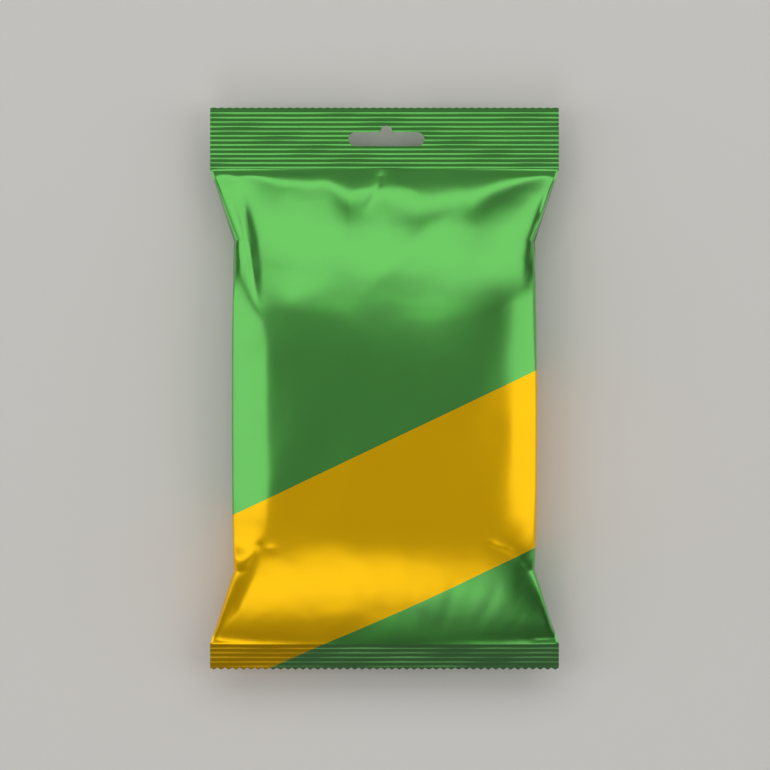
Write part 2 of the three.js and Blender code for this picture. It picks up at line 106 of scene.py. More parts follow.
# Settling stages: cells round and along, steps, fill at the start, push, damping, stiffness factor
STAGES = (
    (40, 24, 700, 0.05, 0.0044, 0.96, 1.0),
    (80, 48, 400, 1.0, 0.0022, 0.9, 1.0),
    (160, 96, 250, 1.0, 0.0012, 0.9, 1.5),
    (320, 192, 60, 1.0, 0.0006, 0.85, 2.0),
)
ROUNDS_PER_STEP = 2
FILLING_SPEED = 1.3

# The flat tube at the start: a low bulge, and an unevenness in columns and rows that lets wrinkles begin
FLAT_TUBE_BULGE = 3.0
UNEVENNESS = 0.05
UNEVEN_SINE = (2.1, 1.3)
UNEVEN_COSINE = (1.7, -0.8)

# Least values that keep a root or a division from failing
ROOT_GUARD = 1e-12
LENGTH_GUARD = 1e-9
HEIGHT_GUARD = 1e-3
DEPTH_GUARD = 0.05

# Section of the bag when its film is pulled smooth: rise, drop and boxiness of the front and of the back
SMOOTH_RISE = 21.3
SMOOTH_DROP = 16.0
SMOOTH_TOP_SLOPE = (84.0, 2.2)
SMOOTH_BOTTOM_SLOPE = (56.0, 2.0)
FRONT_BOXINESS = 8.0
BACK_BOXINESS = 3.2
SEAL_BOXINESS = 1.8
SMOOTH_BOX_RUN = 12.0
SECTION_POINTS = 1441

# The front climbs from the top seal in a shorter run on the right: where that begins, and its blend
RIGHT_TOP_SLOPE = (50.0, 1.6)
RIGHT_SLOPE_X = 22.0
RIGHT_SLOPE_BLEND = 28.0

# The film's edge is less steep in the wings, and steepens from a distance to the seal onwards
WING_STEEPNESS = 3.0
WAIST_STEEPNESS = 25.0
STEEPENING_START = 6.0
STEEPENING_RUN = 28.0
EDGE_SOFTNESS = 1.0

# Share of the wrinkles that the front and the back keep. They fade out near the seals, where the film is
# taut, and at the side folds, over one part in EDGE_BLEND of each layer
FRONT_WRINKLES = 0.16
BACK_WRINKLES = 0.7
EDGE_BLEND = 6
TAUT_RUN = 26.0

# Slack film under the top seal: X, and the run in which the film leaves the plane of the seal
TOP_SLACK = (
    (-73, 0.5), (-64, 1.5), (-54, 3), (-44, 6), (-32, 7), (-24, 6), (-18, 11), (-12, 16), (-7, 12),
    (-3, 8), (2, 12), (8, 22), (17, 21), (28, 18), (38, 15), (46, 9), (58, 5), (73, 1))
SLACK_SHARPNESS = 3.5
SLACK_BLUR = 3.0
SLACK_SPREAD = 18.0
SLACK_SPREAD_RUN = 40.0
SLACK_SAMPLES = 41
BLUR_SAMPLES = 7

# Side strips of the front fall away from two shoulders, given by Y and the distance from the middle
LEFT_SHOULDER = (
    (-108, 75), (-83, 72), (-76, 61), (-70, 53), (-62, 49.2), (25, 49.5), (61, 60), (93, 74))
RIGHT_SHOULDER = (
    (-108, 75), (-83, 72), (-76, 64), (-68, 56), (-38, 53.2), (-5, 53.4), (25, 56.5), (53, 62), (93, 74))
SHOULDER_BLUR = 5.0
STRIP_FALL = 0.022
STRIP_BEND = 0.0006
SHOULDER_SOFTNESS = 0.035

# Cells of the finished film: across its front, across its back and along it
FRONT_CELLS = 250
BACK_CELLS = 100
LONG_CELLS = 264

# Creases that the film has kept from filling and handling: name, points on the front, width and rise
CREASES = (
    ("top left fold",
     ((-65, 88), (-60.3, 72.4), (-59, 66.5), (-57.2, 57.9), (-55, 43.4), (-51.5, 30)),
     1.3, -0.8),
    ("top left hollow", ((-64, 96), (-60, 80), (-56.5, 64), (-54, 46), (-51, 28)), 3.6, -1.6),
    ("top right fold",
     ((73, 95), (70.8, 90.1), (65.5, 75.3), (63, 61.8), (61.7, 54.2), (57, 42)),
     1.6, -0.6),
    ("tongue", ((-0.2, 98), (-1.9, 86.7), (-9, 72)), 1.8, 0.4),
    ("wide bulge in the middle", ((44, 84), (12, 62), (-14, 32)), 9.0, 0.9),
    ("wide hollow on the left", ((-42, 84), (-36, 62), (-40, 32)), 9.0, -1.0),
    ("bottom left dimple", ((-55, -64), (-49, -66.5), (-43, -66.9)), 1.4, -0.35),
    ("bottom left strip end",
     ((-52, -63), (-54.6, -71), (-56.7, -74.3), (-60.1, -76.5), (-66, -74.6)),
     1.0, -0.18),
    ("bottom left wing fold", ((-50, -69), (-61, -93.3), (-72.4, -108)), 2.5, 0.25),
    ("bottom right dimple", ((40, -62.5), (47, -65.5), (52, -67), (56, -71)), 1.3, -0.4),
    ("bottom right strip end", ((54, -65), (57.9, -72.3), (61.3, -75.6), (67, -75)), 1.0, -0.18),
    ("bottom right wing fold", ((61.8, -76), (70.5, -107)), 1.5, 0.25),
    ("bottom right corner pinch", ((58, -105), (76, -107.5)), 1.5, -0.5),
)
CREASE_ROUNDING = 0.4
CREASE_FADING = 0.35
CREASE_EDGE = 3.0

# Crimped seals: sheets with ridges, which run into the film a little
SEAL_THICKNESS = 0.5
SEAL_OVERLAP = 0.6
TOP_RIDGES = 13
BOTTOM_RIDGES = 5
RIDGE_PITCH = 1.91
TOP_SEAL_MARGIN = 0.3
BOTTOM_SEAL_MARGIN = 1.2
TOP_RIDGE_RISE = 0.2
BOTTOM_RIDGE_RISE = 0.13
RIDGE_STEEP_SHARE = 0.12
RIDGE_GENTLE_SHARE = 0.24
CELLS_PER_RIDGE = 14

# Teeth of the cut edges, and how far into the seal their cells follow them
TOP_TEETH = 46
TOP_TOOTH_DEPTH = 0.3
BOTTOM_TEETH = 47
BOTTOM_TOOTH_DEPTH = 0.9
TOOTH_RUN = 2.0
CELLS_PER_TOOTH = 4

# The jaws press unevenly, and the sheets are wavy. A wave has a rise, lengths along X and Y, and a phase
JAW_PRESSURE = 0.74
JAW_WAVES = ((0.16, 11.0, 3.1, 0.0), (0.1, 4.3, -1.7, 2.0))
SHEET_WAVES = ((0.05, 14.0, 9.0, 0.0), (0.03, 6.3, -5.0, 1.0))
SHEET_WAVE_RUN = 6.0

# Hang slot: a rounded slot with a low hump in the middle of its upper edge
SLOT_CENTRE_X = 0.8
SLOT_BOTTOM_Y = 102.2
SLOT_WIDTH = 32.0
SLOT_DEPTH = 5.9
HUMP_RISE = 2.8
HUMP_RADIUS = 2.4
HUMP_FILLET = 1.0
SLOT_END_STEPS = 12
HUMP_STEPS = 16
FILLET_STEPS = 6
CUTTER_DEPTH = 10.0

# Print: a slanted band across the front. Its edges are given where they cross the middle of the bag
BAND_SLOPE = 0.446
BAND_TOP_Y = -22.5
BAND_BOTTOM_Y = -96.3

# Metallised film under clear varnish. The band's ink hides more of the metal, under a thinner varnish.
# The seals are smoother, because hot jaws press them. Edges sharper than the angle, in degrees, stay sharp
FILM_ROUGHNESS = 0.3
SEAL_ROUGHNESS = 0.22
BAND_METAL = 0.68
GROUND_VARNISH = 1.0
BAND_VARNISH = 0.1
VARNISH_ROUGHNESS = 0.28
VARNISH_IOR = 1.7
# Painted shade: the bottom seal's colour is multiplied by this, standing in for the shade it lies in under
# the film
BOTTOM_SEAL_SHADE = 0.5
SHARP_ANGLE = 60.0

# Marks of handling on the film: size and depth of its dents and crinkles, in millimetres
DENT_SIZE = 22.0
DENT_DETAIL = 1.5
DENT_DEPTH = 0.6
CRINKLE_SIZE = 2.0
CRINKLE_DETAIL = 3.0
CRINKLE_DEPTH = 0.05
CRINKLE_STRENGTH = 0.25

# Stage, in metres: the floor, and softboxes that face the bag, each with a place, a size and a power setting
FLOOR_HALF_SIZE = 3.0
FLOOR_COLOUR = "#E6E3DE"
FLOOR_ROUGHNESS = 0.9
SOFTBOXES = (
    ("left", (-1.6, 0, 1.0), (0.9, 2.8), "side_power"),
    ("right", (1.6, 0, 1.0), (0.9, 2.8), "side_power"),
    ("upper", (0, 1.54, 1.66), (3.4, 1.4), "upper_power"),
    ("lower", (-0.2, -1.36, 1.31), (0.9, 1.0), "lower_power"),
    ("ceiling", (0, 0, 2.5), (3.0, 3.0), "ceiling_power"),
)
AIM_HEIGHT = SEAL_HEIGHT * MM

# Camera: straight above, so far away that the bag shows no perspective. Its distance is worked out for a
# view 770 pixels high
PIXELS = 770
PIXEL_SIZE = 0.4216 * MM
VIEW_CENTRE = (0.0002, 0.0015)
LENS = 135
SENSOR = 36


def linear(hex_colour):
    """Linear colour with alpha from an sRGB hex value."""
    channels = [int(hex_colour[k:k + 2], 16) / 255 for k in (1, 3, 5)]
    return (*[c / 12.92 if c <= 0.04045 else ((c + 0.055) / 1.055) ** 2.4 for c in channels], 1.0)


# The film solver


def smooth_step(value):
    t = np.clip(value, 0, 1)
    return t * t * (3 - 2 * t)


def slope(distance, run_and_power):
    """0 at a seal, rising to 1 at the end of the slope."""
    run, power = run_and_power
    return 1 - (1 - np.clip(distance / run, 0, 1)) ** power


def half_width(y):
    """Half width of the bag's outline at y."""
    low = BOTTOM_SEAL_Y + BOTTOM_WING_LENGTH
    share = np.clip((y - low) / (TOP_SEAL_Y - TOP_WING_LENGTH - low), 0, 1)
    waist = WAIST_HALF_WIDTH + WAIST_SWELL * np.sqrt(np.sin(np.pi * share) + ROOT_GUARD)
    wing = np.where(y > 0, (TOP_SEAL_Y - y) / TOP_WING_LENGTH, (y - BOTTOM_SEAL_Y) / BOTTOM_WING_LENGTH)
    return BAG_WIDTH / 2 + (waist - BAG_WIDTH / 2) * np.clip(wing, 0, 1)


def crown_fall(x, y):
    """How far the soft, lumpy top of the filling lies below its highest point."""
    fall = CROWN_DROP * ((x / CROWN_RADIUS_X) ** 2 + (y / CROWN_RADIUS_Y) ** 2)
    long, crossing, short = (np.sin(x / across + y / along) for across, along in LUMP_WAVES)
    return fall + LUMP_RISE * (LUMP_TOP - (long * crossing + short / 2))


def flat_x(around):
    """X of each column while the tube is flat: from the left fold over the front and round the back."""
    share = np.arange(around) / (around / 2)
    return BAG_WIDTH * (np.where(share <= 1, share, 2 - share) - 0.5)


def layer_signs(around):
    """1 for front columns, -1 for back columns and 0 for the two folds."""
    signs = np.sign(around / 2 - np.arange(around))
    signs[0] = 0
    return signs


def pin_seal_rows(film):
    """Puts the film's first and last rows on the seals."""
    around = film.shape[0]
    height = SEAL_HEIGHT + LAYER_GAP * layer_signs(around)
    for row, y in ((0, BOTTOM_SEAL_Y), (-1, TOP_SEAL_Y)):
        film[:, row] = np.stack([flat_x(around), np.full(around, y), height], -1)


def flat_tube(around, along):
    """The film before it is filled: a flat tube with a low bulge."""
    column = np.arange(around)[:, None]
    row = np.arange(along + 1)[None, :]
    x = flat_x(around)[:, None]
    lens = np.sqrt(np.maximum(0, 1 - (2 * x / BAG_WIDTH) ** 2))
    bulge = FLAT_TUBE_BULGE * lens * np.sin(np.pi * row / along)
    sine = np.sin(UNEVEN_SINE[0] * column + UNEVEN_SINE[1] * row)
    bump = UNEVENNESS * sine * np.cos(UNEVEN_COSINE[0] * column + UNEVEN_COSINE[1] * row)
    film = np.zeros((around, along + 1, 3))
    film[..., 0] = x
    film[..., 1] = BOTTOM_SEAL_Y + (TOP_SEAL_Y - BOTTOM_SEAL_Y) * row / along
    film[..., 2] = SEAL_HEIGHT + layer_signs(around)[:, None] * bulge + bump
    pin_seal_rows(film)
    return film


def finer(film):
    """The same film on a grid with twice as many cells each way."""
    around, rows, _ = film.shape
    columns = np.zeros((2 * around, rows, 3))
    columns[0::2] = film
    columns[1::2] = (film + np.roll(film, -1, 0)) / 2
    fine = np.zeros((2 * around, 2 * rows - 1, 3))
    fine[:, 0::2] = columns
    fine[:, 1::2] = (columns[:, 1:] + columns[:, :-1]) / 2
    pin_seal_rows(fine)
    return fine


def pull_pairs(film, across, up, rest, strength, only_push=False):
    """Moves points that are across columns and up rows apart towards their distance at rest."""
    around, rows, _ = film.shape
    free = np.ones(rows)
    free[0] = free[-1] = 0
    span = max(abs(across), abs(up))
    columns = np.arange(around)
    row_list = np.arange(max(0, -up), rows - max(0, up))
    for first_set in (True, False):
        if across > 0:
            i = columns[((columns % (2 * span)) < span) == first_set][:, None]
            j = row_list[None, :]
        else:
            i = columns[:, None]
            j = row_list[((row_list % (2 * span)) < span) == first_set][None, :]
        i2, j2 = (i + across) % around, j + up
        a, b = film[i, j], film[i2, j2]
        gap = b - a
        length = np.sqrt((gap * gap).sum(-1)) + LENGTH_GUARD
        excess = (length - rest) / length
        if only_push:
            excess = np.minimum(excess, 0)
        share = excess * strength / np.maximum(free[j] + free[j2], 1)
        film[i, j] = a + gap * (share * free[j])[..., None]
        film[i2, j2] = b - gap * (share * free[j2])[..., None]


def push_by_pressure(film, push, cell_area):
    """Pushes each point outwards by the area that its cells face."""
    across = np.roll(film, -1, 0)[:, 1:-1] - np.roll(film, 1, 0)[:, 1:-1]
    along = film[:, 2:] - film[:, :-2]
    film[:, 1:-1] += push / (4 * cell_area) * np.cross(across, along)


def rest_on_filling(film, fill):
    """Moves each point that is inside the filling out to its surface."""
    inner = film[:, 1:-1]
    x, y, z = inner[..., 0], inner[..., 1], inner[..., 2]
    to_top, to_bottom = TOP_SEAL_Y - y, y - BOTTOM_SEAL_Y
    rise = fill * FILL_RISE * slope(to_top, FRONT_TOP_SLOPE) * slope(to_bottom, FRONT_BOTTOM_SLOPE)
    drop = fill * FILL_DROP * slope(to_top, BACK_TOP_SLOPE) * slope(to_bottom, BACK_BOTTOM_SLOPE)
    box = smooth_step(to_top / BOXINESS_RUN) * smooth_step(to_bottom / BOXINESS_RUN)
    power = LENS_BOXINESS + (FILL_BOXINESS - LENS_BOXINESS) * box
    centre = SEAL_HEIGHT + (rise - drop) / 2
    half_height = (rise + drop) / 2
    reach_x = np.abs(x / (half_width(y) - FILL_EDGE_GAP)) ** power
    reach_z = np.abs((z - centre) / np.maximum(half_height, HEIGHT_GUARD)) ** power
    depth = (reach_x + reach_z) ** (1 / power)
    inside = (depth < 1) & (half_height > LEAST_FILL_HEIGHT)
    scale = np.where(inside, 1 / np.maximum(depth, DEPTH_GUARD), 1)
    inner[..., 2] = np.where(inside, centre + (z - centre) * scale, z)
    inner[..., 0] = x * scale


def keep_inside(film):
    """Keeps the film inside the outline, above the table and under the crown, and its layers apart."""
    around = film.shape[0]
    signs = layer_signs(around)
    inner = film[:, 1:-1]
    limit = half_width(inner[..., 1])
    inner[..., 0] = np.clip(inner[..., 0], -limit, limit)
    for column, side in ((0, -1), (around // 2, 1)):
        edge = side * half_width(inner[column, :, 1])
        inner[column, :, 0] += EDGE_GUIDANCE * (edge - inner[column, :, 0])
    layered = signs != 0
    sign = signs[layered][:, None]
    height = inner[layered, :, 2] - SEAL_HEIGHT
    inner[layered, :, 2] = SEAL_HEIGHT + sign * np.maximum(sign * height, LAYER_GAP)
    crown = CROWN_HEIGHT - crown_fall(inner[..., 0], inner[..., 1])
    crown = np.maximum(crown, SEAL_HEIGHT + LEAST_CROWN)
    inner[..., 2] = np.clip(inner[..., 2], 0, crown)


def settle(film, stage, film_length, slack, stiffness):
    """Lets the film come to rest on its filling, step by step."""
    around, along, steps, start_fill, push, damping, stiffness_factor = stage
    bending = stiffness * stiffness_factor
    across_rest = 2 * BAG_WIDTH * slack / around
    along_rest = film_length / along
    diagonal = math.hypot(across_rest, along_rest)
    before = film.copy()
    for step in range(1, steps + 1):
        fill = start_fill + (1 - start_fill) * min(1, FILLING_SPEED * step / steps)
        now = film.copy()
        push_by_pressure(film, push, across_rest * along_rest)
        film += (now - before) * damping
        before = now
        for _ in range(ROUNDS_PER_STEP):
            rest_on_filling(film, fill)
            pull_pairs(film, 0, 1, along_rest, 1)
            pull_pairs(film, 1, 0, across_rest, 1)
            pull_pairs(film, 1, 1, diagonal, DIAGONAL_STIFFNESS)
            pull_pairs(film, 1, -1, diagonal, DIAGONAL_STIFFNESS)
            pull_pairs(film, 0, 2, 2 * along_rest, bending, True)
            pull_pairs(film, 2, 0, 2 * across_rest, bending, True)
            keep_inside(film)
    return film


def surface_normals(film):
    """Direction outwards at each point of the film."""
    across = np.roll(film, -1, 0) - np.roll(film, 1, 0)
    along = np.gradient(film, axis=1)
    normal = np.cross(across, along)
    return normal / np.maximum(np.linalg.norm(normal, axis=-1, keepdims=True), LENGTH_GUARD)


def layer_shares():
    """Place of each finished column on the tube: 0 to 1 over the front and 1 to 2 round the back."""
    return np.concatenate([np.arange(FRONT_CELLS) / FRONT_CELLS, 1 + np.arange(BACK_CELLS) / BACK_CELLS])


def soft_min(a, b, softness):
    """The smaller of two values, with a rounded change from one to the other."""
    return (a + b - np.sqrt((a - b) ** 2 + softness ** 2)) / 2


def blurred(line, place, spread):
    """Value at a place on a line given by its corners, averaged over the spread to both sides."""
    shifts = np.linspace(-spread, spread, BLUR_SAMPLES)
    return np.mean([np.interp(place + shift, *zip(*line)) for shift in shifts], 0)


def strip_height(x, y):
    """Height of the side strips, as a share of the height in the middle."""
    left, right = (blurred(line, y, SHOULDER_BLUR) for line in (LEFT_SHOULDER, RIGHT_SHOULDER))
    outside = np.where(x < 0, -x - left, x - right)
    return 1 - STRIP_FALL * outside - STRIP_BEND * np.maximum(outside, 0) ** 2


def slack_distance(x, to_top):
    """Distance from the top seal, less what the slack film under the seal takes up."""
    sharp, wide = (blurred(TOP_SLACK, x, spread) for spread in (SLACK_BLUR, SLACK_SPREAD))
    run = sharp + (wide - sharp) * smooth_step(to_top / SLACK_SPREAD_RUN)
    parts = np.linspace(0, 1, SLACK_SAMPLES)[:, None] * to_top / run
    return to_top * np.mean(1 - np.exp(-parts ** SLACK_SHARPNESS), 0)


def front_rise(x, y):
    """Rise of the smooth front at x and y over the plane of the seals, before its sides fall away."""
    to_top = slack_distance(x, TOP_SEAL_Y - y)
    right = smooth_step((x - RIGHT_SLOPE_X) / RIGHT_SLOPE_BLEND)
    top = slope(to_top, SMOOTH_TOP_SLOPE) * (1 - right) + slope(to_top, RIGHT_TOP_SLOPE) * right
    return top * slope(y - BOTTOM_SEAL_Y, SMOOTH_BOTTOM_SLOPE) * (SMOOTH_RISE - crown_fall(x, y))


def edge_rise(x, y):
    """Height that the film's edge allows: it is less steep in the wings than at the waist."""
    to_seal = min(TOP_SEAL_Y - y, y - BOTTOM_SEAL_Y)
    waist = smooth_step((to_seal - STEEPENING_START) / STEEPENING_RUN)
    return (WING_STEEPNESS + (WAIST_STEEPNESS - WING_STEEPNESS) * waist) * (half_width(y) - np.abs(x))


def smooth_section(y):
    """Points round the bag at y, evenly spaced from the left fold over the front and round the back."""
    to_top, to_bottom = TOP_SEAL_Y - y, y - BOTTOM_SEAL_Y
    drop = SMOOTH_DROP * slope(to_top, BACK_TOP_SLOPE) * slope(to_bottom, BACK_BOTTOM_SLOPE)
    box = smooth_step(min(to_top, to_bottom) / SMOOTH_BOX_RUN)
    turn = np.linspace(0, np.pi, SECTION_POINTS)
    layers = []
    front_and_back = ((FRONT_BOXINESS, 1, FRONT_CELLS), (BACK_BOXINESS, -1, BACK_CELLS))
    for boxiness, sign, cells in front_and_back:
        power = 2 / (SEAL_BOXINESS + (boxiness - SEAL_BOXINESS) * box)
        x = -sign * half_width(y) * np.sign(np.cos(turn)) * np.abs(np.cos(turn)) ** power
        lens = np.abs(np.sin(turn)) ** power
        if sign > 0:
            share = np.maximum(soft_min(lens, strip_height(x, y), SHOULDER_SOFTNESS), 0)
            rise = soft_min(front_rise(x, y) * share, edge_rise(x, y), EDGE_SOFTNESS)
            z = SEAL_HEIGHT + np.maximum(rise, 0) + LAYER_GAP * lens
        else:
            z = np.maximum(SEAL_HEIGHT - (drop + LAYER_GAP) * lens, 0)
        run = np.concatenate([[0], np.cumsum(np.hypot(np.diff(x), np.diff(z)))])
        even = np.linspace(0, run[-1], cells + 1)[:-1]
        points = np.interp(even, run, x), np.full(cells, y), np.interp(even, run, z)
        layers.append(np.stack(points, -1))
    return np.concatenate(layers)


def read_between(grid, column, row):
    """Values of a grid that closes on itself, between its columns and rows."""
    i = np.floor(column).astype(int)
    j = np.minimum(np.floor(row).astype(int), grid.shape[1] - 2)
    s, t = (column - i)[..., None], (row - j)[..., None]
    i2 = (i + 1) % grid.shape[0]
    below = (1 - s) * grid[i, j] + s * grid[i2, j]
    above = (1 - s) * grid[i, j + 1] + s * grid[i2, j + 1]
    return (1 - t) * below + t * above


def pull_smooth(settled):
    """The film on its finished grid, with most wrinkles pulled out of the front and some out of the back."""
    around, rows, _ = settled.shape
    shares = layer_shares()
    column = np.repeat((shares * around / 2)[:, None], LONG_CELLS + 1, 1)
    row = np.repeat(np.linspace(0, rows - 1, LONG_CELLS + 1)[None, :], len(shares), 0)
    wrinkled = read_between(settled, column, row)
    row_y = wrinkled[..., 1].mean(0)
    smooth = np.stack([smooth_section(y) for y in row_y], 1)
    front = smooth_step(np.minimum(shares, 1 - shares) * EDGE_BLEND)
    back = smooth_step(np.minimum(shares - 1, 2 - shares) * EDGE_BLEND)
    kept = FRONT_WRINKLES * front + BACK_WRINKLES * back
    free = smooth_step(np.minimum(TOP_SEAL_Y - row_y, row_y - BOTTOM_SEAL_Y) / TAUT_RUN)
    return smooth + (wrinkled - smooth) * (kept[:, None] * free)[..., None]


def distance_and_place(x, y, points):
    """Distance from each point to a line through the given points, and its place along the line, 0 to 1."""
    nearest, place = np.full(x.shape, np.inf), np.zeros(x.shape)
    runs = [math.dist(a, b) for a, b in zip(points, points[1:])]
    done = 0
    for (x1, y1), (x2, y2), length in zip(points, points[1:], runs):
        along = ((x - x1) * (x2 - x1) + (y - y1) * (y2 - y1)) / length ** 2
        share = np.clip(along, 0, 1)
        away = np.hypot(x - x1 - share * (x2 - x1), y - y1 - share * (y2 - y1))
        closer = away < nearest
        nearest = np.where(closer, away, nearest)
        place = np.where(closer, (done + share * length) / sum(runs), place)
        done += length
    return nearest, place


def press_creases(film, depth):
    """Moves the front film along its normal at each crease."""
    front = film[1:FRONT_CELLS, 1:-1]
    normal = surface_normals(film)[1:FRONT_CELLS, 1:-1]
    x, y = front[..., 0].copy(), front[..., 1].copy()
    below_top = np.clip((TOP_SEAL_Y - y) / CREASE_EDGE, 0, 1)
    edge = below_top * np.clip((y - BOTTOM_SEAL_Y) / CREASE_EDGE, 0, 1)
    for _, points, width, rise in CREASES:
        away, place = distance_and_place(x, y, points)
        rounding = CREASE_ROUNDING * width
        away = np.hypot(away, rounding) - rounding
        fading = smooth_step(np.minimum(place, 1 - place) / CREASE_FADING)
        amount = depth * rise * np.exp(-away / width) * edge * fading
        front += normal * amount[..., None]
    front[..., 2] = np.maximum(front[..., 2], SEAL_HEIGHT + LAYER_GAP)


def finished_film(settings):
    """The film as it is shown: settled on ever finer grids, pulled smooth and creased."""
    stages = STAGES
    film = flat_tube(*stages[0][:2])
    for stage in stages:
        if film.shape[0] < stage[0]:
            film = finer(film)
        settle(film, stage, settings.film_length / MM, settings.film_slack, settings.film_stiffness)
    film = pull_smooth(film)
    press_creases(film, settings.crease_depth)
    return film


# Making pieces


def make_piece(name, bm):
    """Makes a piece of printed film that stands for the solid bag."""
    mesh = bpy.data.meshes.new(name)
    bm.to_mesh(mesh)
    bm.free()
    for face in mesh.polygons:
        face.use_smooth = True
    mesh.set_sharp_from_angle(angle=math.radians(SHARP_ANGLE))
    piece = bpy.data.objects.new(name, mesh)
    bpy.context.scene.collection.objects.link(piece)
    piece.data.materials.append(printed_film())
    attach(piece, "root")
    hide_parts("bag")
    return piece


def lay_print(bm, print_x, print_y):
    """UV map of the print: the bag's whole width and length are each 1."""
    layer = bm.loops.layers.uv.new("print")
    for face in bm.faces:
        for loop in face.loops:
            k = loop.vert.index
            loop[layer].uv = (print_x[k] / BAG_WIDTH + 0.5, print_y[k] / BAG_LENGTH + 0.5)


def film_piece(settings):
    """Makes the body from the finished film, with its print laid on straight as seen from above."""
    film = finished_film(settings)
    around, rows, _ = film.shape
    closed = np.concatenate([film, film[:1]])
    bm = bmesh.new()
    bmesh.ops.create_grid(bm, x_segments=rows - 1, y_segments=around, size=0.5)
    bm.verts.ensure_lookup_table()
    for vert in bm.verts:
        row = round((vert.co.x + 0.5) * (rows - 1))
        column = round((vert.co.y + 0.5) * around)
        vert.co = Vector(closed[column, row] * MM)
        vert.index = column * rows + row
    print_x = closed[..., 0] * np.sqrt(BAG_WIDTH / 2 / half_width(closed[..., 1]))
    lay_print(bm, print_x.ravel(), closed[..., 1].ravel())
    bmesh.ops.remove_doubles(bm, verts=bm.verts, dist=1e-6)
    bmesh.ops.recalc_face_normals(bm, faces=bm.faces)
    return make_piece("film_body", bm)


def wave_height(x, y, waves):
    """Sum of waves, each given by its rise, its lengths along X and Y, and its phase."""
    return sum(rise * math.sin(x / across + y / along + phase) for rise, across, along, phase in waves)


def ridge_height(x, y, first_ridge, ridges, rise):
    """Rise of the crimped sheet: ridges that fall gently towards the top, with flats between them."""
    turn = (y - first_ridge) / RIDGE_PITCH
    if not 0 <= turn < ridges:
        return 0.0
    place = turn % 1
    pressed = JAW_PRESSURE + wave_height(x, y, JAW_WAVES)
    if place < RIDGE_STEEP_SHARE:
        return rise * pressed * smooth_step(place / RIDGE_STEEP_SHARE)
    return rise * pressed * smooth_step(1 - (place - RIDGE_STEEP_SHARE) / RIDGE_GENTLE_SHARE)


def seal_piece(name, inner_y, outer_y, ridges, ridge_rise, teeth, tooth_depth, cut_slot):
    """Makes a seal from a flat, toothed sheet, then raises its ridges and waves."""
    direction = math.copysign(1, outer_y)
    inner = inner_y - direction * SEAL_OVERLAP
    cells_x = teeth * CELLS_PER_TOOTH
    cells_y = round(abs(outer_y - inner) / RIDGE_PITCH * CELLS_PER_RIDGE)
    bm = bmesh.new()
    bmesh.ops.create_grid(bm, x_segments=cells_x, y_segments=cells_y, size=0.5)
    for vert in bm.verts:
        x = vert.co.x * BAG_WIDTH
        tooth = abs(((vert.co.x + 0.5) * teeth) % 1 - 0.5) * 2
        y = inner + (outer_y - inner) * (vert.co.y + 0.5)
        near_edge = max(0, 1 - abs(outer_y - y) / TOOTH_RUN)
        vert.co = (x * MM, (y - direction * tooth_depth * tooth * near_edge) * MM, 0)
    bmesh.ops.solidify(bm, geom=bm.faces[:], thickness=SEAL_THICKNESS * MM)
    bmesh.ops.recalc_face_normals(bm, faces=bm.faces)
    if cut_slot:
        bm = cut_hang_slot(bm)
    first = inner_y + TOP_SEAL_MARGIN if direction > 0 else outer_y + BOTTOM_SEAL_MARGIN
    middle = (max(v.co.z for v in bm.verts) + min(v.co.z for v in bm.verts)) / 2
    for vert in bm.verts:
        x, y = vert.co.x / MM, vert.co.y / MM
        free = smooth_step(abs(y - inner_y) / SHEET_WAVE_RUN)
        wave = wave_height(x, y, SHEET_WAVES) * free
        ridge = ridge_height(x, y, first, ridges, ridge_rise) - ridge_rise / 2
        vert.co.z += (SEAL_HEIGHT + ridge + wave) * MM - middle
    bm.verts.index_update()
    lay_print(bm, [v.co.x / MM for v in bm.verts], [v.co.y / MM for v in bm.verts])
    return make_piece(name, bm)


def arc(centre, radius, start, end, steps):
    """Points on an arc between two angles in degrees."""
    angles = [math.radians(start + (end - start) * k / steps) for k in range(steps + 1)]
    return [(centre[0] + radius * math.cos(a), centre[1] + radius * math.sin(a)) for a in angles]


def slot_outline():
    """Points round the hang slot, as one closed loop."""
    radius = SLOT_DEPTH / 2
    end = SLOT_WIDTH / 2 - radius
    middle, top = SLOT_BOTTOM_Y + radius, SLOT_BOTTOM_Y + SLOT_DEPTH
    hump_y = top + HUMP_RISE - HUMP_RADIUS
    fillet_y = top + HUMP_FILLET
    reach = math.sqrt((HUMP_RADIUS + HUMP_FILLET) ** 2 - (fillet_y - hump_y) ** 2)
    lean = math.degrees(math.atan2(fillet_y - hump_y, reach))
    left, right = SLOT_CENTRE_X - end, SLOT_CENTRE_X + end
    points = arc((right, middle), radius, -90, 90, SLOT_END_STEPS)
    points += arc((SLOT_CENTRE_X + reach, fillet_y), HUMP_FILLET, -90, -180 + lean, FILLET_STEPS)
    points += arc((SLOT_CENTRE_X, hump_y), HUMP_RADIUS, lean, 180 - lean, HUMP_STEPS)[1:]
    points += arc((SLOT_CENTRE_X - reach, fillet_y), HUMP_FILLET, -lean, -90, FILLET_STEPS)[1:]
    return points + arc((left, middle), radius, 90, 270, SLOT_END_STEPS)


